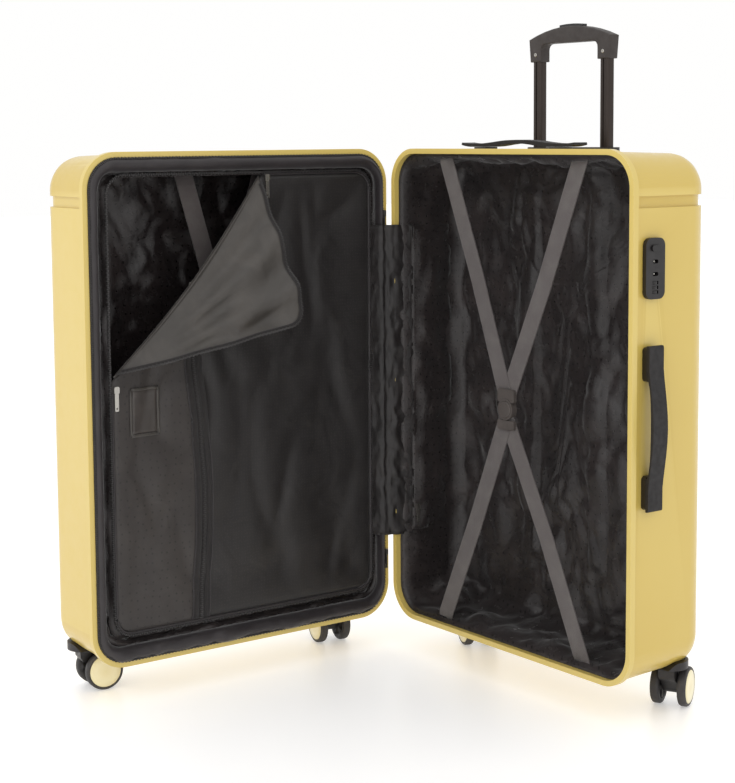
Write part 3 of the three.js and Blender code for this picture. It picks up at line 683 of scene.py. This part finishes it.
def rear_lining():
    """The rear half's lining, drawn over the handle's two outer tubes and creased all over."""
    low, high = REAR.span("rear_lining")
    back = high.y
    front = low.y
    profile = [(RIM_WIDTH + 0.6, 8), (REAR_WALL - 1, 14), (REAR_WALL, front)]
    for y in range(int(front) + 7, int(back) - 20, 7):
        profile.append((REAR_WALL + 0.03 * y, y))
    profile += [(REAR_WALL + 5, back - 14), (REAR_WALL + 10, back - 5), (REAR_WALL + 17, back)]
    piece = lining_tray(REAR, profile, "rear_lining_cloth")
    tubes = [REAR.place(sum(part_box("outer_tube_" + side), Vector()) / 2).x for side in ("left", "right")]
    lifts = [channel(x, 150, 700, 18, 6, back) for x in tubes]
    for vertex in piece.data.vertices:
        place = REAR.place(vertex.co)
        vertex.co -= REAR.inwards * MM * sum(lift(place) for lift in lifts)

    def loose(point):
        place = REAR.place(point)
        behind_pocket = smoothstep(place.x, REAR_WALL + 12, REAR_WALL + 4)
        return smoothstep(place.y, 9, 30) * (1 - 0.7 * behind_pocket)

    crumple(piece, 0.0125, 0.085, 3, loose)
    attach(piece, "case")
    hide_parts("rear_lining")


def lid_lining():
    """The lid's lining tray, seen through the open corner of the divider."""
    back = LID.span("front_lining")[1].y
    profile = [(REAR_WALL + 12, 20), (REAR_WALL + 1, 26)]
    for y in range(33, int(back) - 20, 8):
        profile.append((REAR_WALL + 0.03 * y, y))
    profile += [(REAR_WALL + 5, back - 14), (REAR_WALL + 10, back - 5), (REAR_WALL + 17, back)]
    piece = lining_tray(LID, profile, "lid_lining_cloth")
    crumple(piece, 0.011, 0.085, 5, lambda p: smoothstep(LID.place(p).y, 22, 40))
    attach(piece, "lid")
    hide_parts("front_lining")


# Sections as (share of the way inwards, depth in millimetres).
BINDING_SECTION = (
    (0, 3), (0.04, -1.2), (0.16, -3.6), (0.36, -4.4), (0.6, -3.2), (0.8, 0.4), (0.95, 6), (1, 13),
)
GUSSET_SECTION = ((-0.02, 11), (0.12, 18), (0.3, 24), (0.5, 25), (0.7, 20), (0.86, 15), (1, 13.2))


def lid_edge():
    """The padded binding inside the lid's rim, and the gathered cloth between it and the divider."""
    outer = mouth_ring(RIM_WIDTH + 2.2)
    inner = ring(BINDING_LOW, BINDING_HIGH, 26)
    low, high = LID.span("divider_panel")
    divider = ring((low.x, low.z), (high.x, high.z), DIVIDER_ROUND)
    rows = []
    for share, y in BINDING_SECTION:
        rows.append([LID.at(x, y, z) for x, z in between(outer, inner, share)])
    binding = sheet_piece("lid_binding", rows, EDGE_CLOTH, wrap=True)

    def slack(point):
        place = LID.place(point)
        low_edge = smoothstep(place.z, BOTTOM + 60, BOTTOM + 25)
        return smoothstep(place.y, 2, 0) * (0.25 + 0.75 * low_edge)

    crumple(binding, 0.0045, 0.045, 11, slack)
    rows = []
    for share, y in GUSSET_SECTION:
        rows.append([LID.at(x, y, z) for x, z in between(inner, divider, share)])
    gusset = sheet_piece("lid_gusset", rows, LINING, wrap=True, thick=0.0008)
    crumple(gusset, 0.008, 0.05, 13, lambda p: smoothstep(LID.place(p).y, 13.4, 18))
    for piece in (binding, gusset):
        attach(piece, "lid")
        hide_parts("front_lining")
    trim = main_zip()


def main_zip():
    """The lid's half of the main zip: a tape inside the rim, with its teeth towards the other half."""
    rows = []
    for inset, y in ((8.2, 7), (8.0, 3), (8.4, 0.2), (9.4, -1.2)):
        rows.append([LID.at(x, y, z) for x, z in mouth_ring(inset)])
    tape = sheet_piece("main_zip_tape", rows, TAPE, wrap=True, thick=0.0007)
    line = [LID.at(x, -1.0, z) for x, z in mouth_ring(8.6)]
    teeth = zip_chain("main_zip_teeth", line + line[:1], -LID.inwards, 0.0026, 0.0030, 0.0018)
    for piece in (tape, teeth):
        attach(piece, "lid")
        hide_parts("zip_band")
    return [tape, teeth]


# ---------------------------------------------------------------- divider and its loose corner

def pocket_zip_x(z):
    """The divider's pocket zip hangs in a slight bow across the panel."""
    low = LID.span("divider_panel")[0].z
    bow = 14 * math.sin(math.pi * min(1.0, max(0.0, (z - low) / 337)))
    return 176 + bow - 6 * smoothstep(z, 430, 560)


def fold_edge(z):
    """x of the fold line at a height, bowed towards the panel."""
    share = (z - FOLD_LOW[1]) / (FOLD_HIGH[1] - FOLD_LOW[1])
    straight = FOLD_LOW[0] + (FOLD_HIGH[0] - FOLD_LOW[0]) * share
    return straight + FOLD_BOW / FOLD_OUT[0] * math.sin(math.pi * share)


def panel_edges(z, low, high):
    """Left and right end of the divider at a height, with its round corners."""
    left, right = low.x, high.x
    near = min(z - low.z, high.z - z)
    if near < DIVIDER_ROUND:
        cut = DIVIDER_ROUND - math.sqrt(max(0.0, DIVIDER_ROUND**2 - (DIVIDER_ROUND - near) ** 2))
        right -= cut
        left += cut if z < FOLD_LOW[1] else 0
    if z > FOLD_LOW[1]:
        left = fold_edge(z)
    return left, right


def divider_depth(x, z, left, right, low, high):
    """The divider's cloth hangs in a shallow belly with long soft folds."""
    edge = min(x - left, right - x, z - low.z, high.z - z)
    free = smoothstep(edge, 0, 70)
    fold = crease(LID.at(x * 1.7, 0, z * 0.7), 0.11, 21)
    return DIVIDER_Y + free * (4 + 4.5 * fold) - 0.8 * smoothstep(edge, 0, 6)


def divider_panel():
    low, high = LID.span("divider_panel")
    rows = []
    count = 82
    columns = 64
    for r in range(count + 1):
        z = low.z + (high.z - low.z) * r / count
        left, right = panel_edges(z, low, high)
        row = []
        for c in range(columns + 1):
            x = left + (right - left) * c / columns
            row.append(LID.at(x, divider_depth(x, z, left, right, low, high), z))
        rows.append(row)
    panel = sheet_piece("divider_cloth_panel", rows, DIVIDER_DARK, thick=0.001)
    panel.data.materials.append(DIVIDER_PRINT)
    for polygon in panel.data.polygons:
        place = LID.place(polygon.center)
        polygon.material_index = 1 if place.x < pocket_zip_x(place.z) else 0
    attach(panel, "lid")
    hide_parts("divider_panel")
    trim = divider_trim() + card_window()


def on_divider(x, z, lift):
    """A point lift millimetres in front of the divider's cloth."""
    low, high = LID.span("divider_panel")
    left, right = panel_edges(z, low, high)
    return LID.at(x, divider_depth(x, z, left, right, low, high) - lift, z)


def divider_trim():
    """The pocket zip with its two bands, the bound edges, and the zip teeth all round the divider."""
    low, high = LID.span("divider_panel")
    front = -LID.inwards
    top = 545
    heights = [low.z + 3 + (top - low.z - 3) * i / 60 for i in range(61)]
    parts = []
    for shift, width in ((-9, 9), (9, 9)):
        line = [on_divider(pocket_zip_x(z) + shift, z, 1.3) for z in heights]
        parts.append(ribbon("band", line, front, width * MM, TAPE))
    bands = joined("pocket_zip_bands", parts)
    line = [on_divider(pocket_zip_x(z), z, 0.8) for z in heights]
    tape = ribbon("pocket_zip_tape", line, front, 0.011, TAPE)
    teeth = zip_chain("pocket_zip_teeth", line, front, 0.0028, 0.0042, 0.0018)
    edges = []
    for shift in (-13.8, 13.8):
        line = [on_divider(pocket_zip_x(z) + shift, z, 1.4) for z in heights]
        edges.append(piping("edge", line, 0.0011, EDGE_CLOTH))
    outline = ring((low.x, low.z), (high.x, high.z), DIVIDER_ROUND)
    bottom = [p for p in outline if p[1] < 430]
    start = next(i for i, p in enumerate(bottom) if p[0] < low.x + 1)
    bottom = bottom[start:] + bottom[:start]
    side_line = [LID.at(x, DIVIDER_Y - 0.9, z) for x, z in bottom]
    upper = [p for p in outline if p[1] >= 430 and p[0] > FOLD_HIGH[0]]
    top_line = [LID.at(x, DIVIDER_Y - 0.9, z) for x, z in upper]
    for line in (side_line, top_line):
        edges.append(piping("edge", line, 0.0016, EDGE_CLOTH))
    bound = joined("divider_bound_edges", edges)
    seam = ring((low.x - 3, low.z - 3), (high.x + 3, high.z + 3), DIVIDER_ROUND + 3)
    seam_line = [LID.at(x, DIVIDER_Y - 0.4, z) for x, z in seam]
    edge_teeth = zip_chain("divider_zip_teeth", seam_line + seam_line[:1], front, 0.0028, 0.0036, 0.0016)
    trim = [bands, tape, teeth, bound, edge_teeth]
    for piece in trim:
        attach(piece, "lid")
    return trim


def card_window():
    """A clear card pocket in a bound frame on the printed part of the divider."""
    x0, x1, z0, z1 = CARD_WINDOW
    rows = []
    for i in range(9):
        z = z0 + (z1 - z0) * i / 8
        rows.append([on_divider(x0 + (x1 - x0) * c / 7, z, 1.1) for c in range(8)])
    window = sheet_piece("card_window", rows, CLEAR_FILM, thick=0.0004)
    corners = [(x0, z0), (x1, z0), (x1, z1), (x0, z1), (x0, z0)]
    parts = []
    for (ax, az), (bx, bz) in zip(corners, corners[1:]):
        line = [on_divider(ax + (bx - ax) * i / 8, az + (bz - az) * i / 8, 1.8) for i in range(9)]
        parts.append(ribbon("side", line, -LID.inwards, 0.0045, FLAP_INSIDE))
    binding = joined("card_window_binding", parts)
    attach(window, "lid")
    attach(binding, "lid")
    return [window, binding]


def corner_reach(s):
    """How far the loose corner reaches from the fold line, s millimetres down the line from its top."""
    a, b = CORNER_FOOT, FOLD_LENGTH - CORNER_FOOT
    reach = CORNER_REACH * (s / a if s < a else (FOLD_LENGTH - s) / b)
    centre = (CORNER_FOOT + 2, CORNER_REACH - DIVIDER_ROUND * math.sqrt(2))
    off = abs(s - centre[0])
    if off < DIVIDER_ROUND * 0.7:
        reach = min(reach, centre[1] + math.sqrt(DIVIDER_ROUND**2 - off**2))
    return reach


# The loose corner's folds spread like a fan from one end of the fold line: millimetres, and radians a fold.
FAN_HEIGHT = 5.5
FAN_ANGLE = 0.25


def corner_place(s, t):
    """Where the loose corner's cloth lies, t millimetres of cloth away from the fold line.

    The cloth rolls over in a tight bend, then stands off the panel and bends back towards it.
    """
    steps = 24
    over = 0.0
    out = 0.0
    for i in range(steps):
        at = t * (i + 0.5) / steps
        if at < ROLL_LENGTH:
            heading = ROLL_TURN * at / ROLL_LENGTH
        else:
            heading = ROLL_TURN + (LAST_TURN - ROLL_TURN) * min(1.0, (at - ROLL_LENGTH) / CORNER_REACH)
        over -= math.cos(heading) * t / steps
        out += math.sin(heading) * t / steps
    loose = smoothstep(t, ROLL_LENGTH, CORNER_REACH * 0.6)
    over *= 1 - 0.09 * loose
    bow = FOLD_BOW * math.sin(math.pi * s / FOLD_LENGTH)
    drift = -22 * (t / CORNER_REACH) ** 1.4
    from_tip = FOLD_LENGTH - s
    fan = math.atan2(t, from_tip)
    spread = smoothstep(math.hypot(t, from_tip), 60, 210) * smoothstep(t, ROLL_LENGTH, 55)
    out += FAN_HEIGHT * math.sin(2 * math.pi * fan / FAN_ANGLE + 0.9) * spread
    ripple = 2.6 * math.sin(2 * math.pi * (t / 84 - s / 230))
    ripple += 1.2 * math.sin(2 * math.pi * (t / 39 + s / 150))
    out += ripple * loose
    x = FOLD_HIGH[0] + FOLD_DOWN[0] * (s + drift) + FOLD_OUT[0] * (over + bow)
    z = FOLD_HIGH[1] + FOLD_DOWN[1] * (s + drift) + FOLD_OUT[1] * (over + bow)
    return LID.at(x, DIVIDER_Y - out, z)


def loose_corner():
    """The divider's unzipped corner: a bend along the fold, and the flap with its half of the zip."""
    count = 70
    lines = [6 + (FOLD_LENGTH - 12) * i / count for i in range(count + 1)]
    roll_end = [min(ROLL_LENGTH, 0.5 * corner_reach(s)) for s in lines]
    bend_rows = []
    for step in range(9):
        bend_rows.append([corner_place(s, end * step / 8) for s, end in zip(lines, roll_end)])
    bend = sheet_piece("corner_fold_bend", bend_rows, FLAP_INSIDE, thick=0.001)
    flap_rows = []
    for step in range(37):
        row = []
        for s, end in zip(lines, roll_end):
            t = end + (corner_reach(s) - end) * step / 36
            row.append(corner_place(s, t))
        flap_rows.append(row)
    flap = sheet_piece("corner_flap_cloth", flap_rows, FLAP_INSIDE, thick=0.001)
    rim = flap_rows[-1]
    hem_line = [corner_place(s, corner_reach(s) - 3) for s in lines[2:-2]]
    lifted_hem = [p - LID.inwards * 0.0012 for p in hem_line]
    hem = ribbon("corner_zip_tape", lifted_hem, -LID.inwards, 0.0055, TAPE)
    teeth = zip_chain("corner_zip_teeth", rim[1:-1], -LID.inwards, 0.0027, 0.0032, 0.0018)
    start = LID.at(150, DIVIDER_Y - 0.5, 560)
    end = LID.at(150, 4.5, 560)
    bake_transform(bend)
    for piece in (flap, hem, teeth):
        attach(piece, "divider_corner")
        LID.at(150, 4.2, 560)
        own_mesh(piece)
    for piece in (bend, flap):
        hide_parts("divider_corner_flap")


# ---------------------------------------------------------------- pocket and hinge cloth

def wall_pocket():
    """The pocket on the rear half's hinge-side wall, with a vertical zip near its front edge."""
    low, high = REAR.span("pocket_panel")
    rows = []
    for r in range(67):
        z = low.z + (high.z - low.z) * r / 66
        row = []
        for c in range(13):
            y = low.y + (high.y - low.y) * c / 12
            edge = min(y - low.y, high.y - y, z - low.z, high.z - z)
            row.append(REAR.at(low.x + 5 * smoothstep(edge, 0, 22), y, z))
        rows.append(row)
    panel = sheet_piece("wall_pocket_cloth", rows, LINING, thick=0.0009)
    if panel.data.polygons[0].normal.x < 0:
        panel.data.flip_normals()
    crumple(panel, 0.006, 0.045, 31, lambda p: smoothstep(REAR.place(p).y, low.y, low.y + 14))
    slider = REAR.span("pocket_zip_slider")
    y = (slider[0].y + slider[1].y) / 2
    x = slider[0].x - 1.5
    line = [REAR.at(x, y, low.z + 6 + (high.z - low.z - 12) * i / 60) for i in range(61)]
    tape = ribbon("wall_pocket_zip_tape", line, REAR.across, 0.02, TAPE)
    teeth = zip_chain("wall_pocket_zip_teeth", line, REAR.across, 0.0028, 0.0042, 0.0017)
    for piece in (panel, tape, teeth):
        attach(piece, "case")
    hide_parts("pocket_panel")


def hinge_cloth():
    """The cloth that joins the two linings and covers the hinge."""
    low, high = REAR.span("hinge_flap")
    start = REAR.at(8, -5.5, 0)
    end = LID.at(WIDTH - 8, -8, 0)
    knots = [REAR.at(17, 27, 0), REAR.at(12.5, 14, 0), REAR.at(11, 1.5, 0), start]
    knots += [(start + end) / 2, end, LID.at(WIDTH - 13, -8, 0)]
    knots += [LID.at(WIDTH - 17, -4, 0), LID.at(WIDTH - 20, 5, 0), LID.at(WIDTH - 23, 14, 0)]
    rows = []
    for r in range(79):
        z = low.z + (high.z - low.z) * r / 78
        row = []
        for a, b in zip(knots, knots[1:]):
            row += [a.lerp(b, i / 3) + UP * z * MM for i in range(3)]
        row.append(knots[-1] + UP * z * MM)
        rows.append(row)
    cloth_piece = sheet_piece("hinge_cloth", rows, HINGE_CLOTH, thick=0.0009)
    crumple(cloth_piece, 0.0035, 0.026, 41)
    crumple(cloth_piece, 0.0022, 0.015, 43)
    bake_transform(cloth_piece)
    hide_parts("hinge_flap")


# ---------------------------------------------------------------- straps

def strap(name, half, points, nodes, width=28):
    """A webbing strap along a few (x, y, z) places of a half, with folded selvedges."""
    line = []
    for a, b in zip(points, points[1:]):
        line += [half.at(*(Vector(a).lerp(Vector(b), i / 10))) for i in range(10)]
    line.append(half.at(*points[-1]))
    facing = -half.inwards
    rows = []
    for share in (-0.5, -0.47, -0.25, 0, 0.25, 0.47, 0.5):
        row = []
        for index, point in enumerate(line):
            direction = line[min(len(line) - 1, index + 1)] - line[max(0, index - 1)]
            side = direction.cross(facing).normalized()
            row.append(point + side * share * width * MM + facing * 0.0004 * (1 - abs(share)))
        rows.append(row)
    piece = sheet_piece(name, rows, WEBBING, thick=0.0014)
    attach(piece, half.body)
    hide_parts(*nodes)


def straps():
    """Four packing straps that meet at the buckle, and the crossed pair deep in the lid."""
    ladder_low, ladder_high = REAR.span("buckle_body")
    for name, rim_x, buckle_x, rim_z, buckle_z in REAR_STRAPS:
        y = REAR.span(name)[0].y + 0.7
        in_ladder = 0.2 * y + 0.4 * (ladder_low.y + ladder_high.y)
        turn = 6 if rim_z > buckle_z else -6
        run = [(buckle_x, in_ladder, buckle_z)]
        run += [(0.5 * (rim_x + buckle_x), y + 2.5, 0.5 * (rim_z + buckle_z))]
        run += [(rim_x, y + 2, rim_z), (rim_x, y + 12, rim_z + turn)]
        strap(name + "_webbing", REAR, run, [name])
    y = LID.span("front_cross_strap")[0].y + 0.7
    for index, (top_x, low_x) in enumerate(((192, 380), (330, 120))):
        depth = y + 2 * index
        run = [(top_x, depth, 726), (0.5 * (top_x + low_x), depth, 405), (low_x, depth, 84)]
        strap(f"lid_cross_strap_{index + 1}", LID, run, ["front_cross_strap"])


# ---------------------------------------------------------------- wheels and small hardware

def wheel_spokes(radius, height, angle):
    """The recess in a wheel's inner face is shallow over its five spokes."""
    if height > -3 or radius < 8.5 or radius > 20:
        return height
    spoke = smoothstep(abs(((angle * 5 / (2 * math.pi)) % 1) - 0.5), 0.16, 0.1)
    return height - 2.6 * spoke


def wheels():
    """Each wheel has a rubber tyre and a cream cap on its outer face."""
    for caster in ("rear_hinge_caster", "rear_lock_caster", "lid_hinge_caster", "lid_lock_caster"):
        middles = {side: sum(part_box(f"{caster}_wheel_{side}"), Vector()) / 2 for side in "ab"}
        for side, other in (("a", "b"), ("b", "a")):
            node = f"{caster}_wheel_{side}"
            centre = middles[side]
            out = (centre - middles[other]).normalized()
            radius = centre.z / MM
            tread = [(radius - 2.6, -6), (radius - 0.8, -5.2), (radius, -3.4)]
            tread += [(radius, 3.4), (radius - 0.7, 5)]
            inner = [(0, -6), (7, -6), (8, -5.6), (9, -3.2), (18, -3.2), (19.5, -5.4), (20.5, -6)]
            outer = [(radius - 2.2, 6), (radius * 0.86, 6), (radius * 0.85, 4.2), (0, 4.2)]
            section = inner + tread + outer
            tyre = turned(node + "_tyre", section, centre, out, TYRE, shape=wheel_spokes)
            cap_radius = radius * 0.84
            cap_profile = [(0, 4.3), (cap_radius, 4.3), (cap_radius, 5.6), (cap_radius - 0.8, 6.4)]
            cap_profile += [(cap_radius * 0.6, 6.8), (0, 7)]
            cap = turned(node + "_cap", cap_profile, centre, out, CREAM)
            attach(tyre, node)
            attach(cap, node)
            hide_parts(node)


def small_hardware():
    """Screws in the grip's legs and the metal catches in the lock's two receivers."""
    grip_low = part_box("trolley_grip")[0]
    for side in ("left", "right"):
        tube = sum(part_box("inner_tube_" + side), Vector()) / 2
        head = Vector((tube.x, grip_low.y + 0.0002, grip_low.z + 0.0103))
        profile = [(0, 0.2), (0.7, 0.2), (0.8, 0.8), (2, 0.9), (2.7, 0.5), (2.9, -0.4), (0, -0.4)]
        screw = turned("grip_screw_" + side, profile, head, Vector((0, -1, 0)), ZINC, 28)
        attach(screw, "trolley")
    low, high = REAR.span("lock_housing")
    for index, z in enumerate((592, 608)):
        centre = REAR.at(high.x - 4.4, (low.y + high.y) / 2, z)
        profile = [(0, 2.2), (1.2, 2.2), (1.7, 1.6), (1.8, -0.6), (0, -0.6)]
        catch = turned(f"lock_catch_{index + 1}", profile, centre, REAR.across, ZINC, 24)
        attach(catch, "case")


# ---------------------------------------------------------------- studio and camera

def camera():
    """The view: yaw is from +Y, with a small pitch down, a slight roll and a vertical shift."""
    place = Vector((1.8772, -1.4055, 0.7683))
    yaw, pitch, roll = (math.radians(a) for a in (53.472, 6.015, -0.402))
    forward = Vector((-math.sin(yaw) * math.cos(pitch), math.cos(yaw) * math.cos(pitch), -math.sin(pitch)))
    right = Vector((math.cos(yaw), math.sin(yaw), 0))
    up = right.cross(forward)
    across = right * math.cos(roll) + up * math.sin(roll)
    upward = up * math.cos(roll) - right * math.sin(roll)
    data = bpy.data.cameras.new("camera")
    data.lens = 80.657
    data.sensor_width = 36
    data.shift_y = -0.09
    data.clip_end = 60
    view = bpy.data.objects.new("camera", data)
    turn = Matrix((across, upward, -forward)).transposed().to_4x4()
    view.matrix_world = Matrix.Translation(place) @ turn
    bpy.context.scene.collection.objects.link(view)
    bpy.context.scene.camera = view


def soft_light(name, place, target, size, power):
    data = bpy.data.lights.new(name, "AREA")
    data.shape = "RECTANGLE"
    data.size, data.size_y = size
    data.energy = power
    light = bpy.data.objects.new(name, data)
    light.location = place
    direction = Vector(target) - Vector(place)
    light.rotation_euler = direction.to_track_quat("-Z", "Y").to_euler()
    bpy.context.scene.collection.objects.link(light)


def studio():
    """A pale floor, a white surround and three soft lights."""
    half = 14
    corners = [(-half, -half, 0), (half, -half, 0), (half, half, 0), (-half, half, 0)]
    mesh = bpy.data.meshes.new("floor")
    mesh.from_pydata(corners, [], [(0, 1, 2, 3)])
    mesh.materials.append(studio_floor())
    floor = bpy.data.objects.new("floor", mesh)
    bpy.context.scene.collection.objects.link(floor)
    world = bpy.data.worlds.new("studio")
    world.use_nodes = True
    background = world.node_tree.nodes["Background"]
    background.inputs["Color"].default_value = (1, 0.997, 0.992, 1)
    background.inputs["Strength"].default_value = 1.0
    bpy.context.scene.world = world
    soft_light("key", (0.3, -3.0, 2.4), (0, 0, 0.35), (2.2, 2.2), 20)
    soft_light("front", (2.8, -1.6, 1.9), (0, 0, 0.35), (1.6, 2.0), 2)
    soft_light("top", (0.2, -0.2, 3.2), (0, 0, 0), (3.0, 3.0), 6)
    bpy.context.scene.view_settings.view_transform = "Standard"


camera()
studio()
hard_pieces()
rear_lining()
lid_lining()
lid_edge()
divider_panel()
loose_corner()
wall_pocket()
hinge_cloth()
straps()
wheels()
small_hardware()
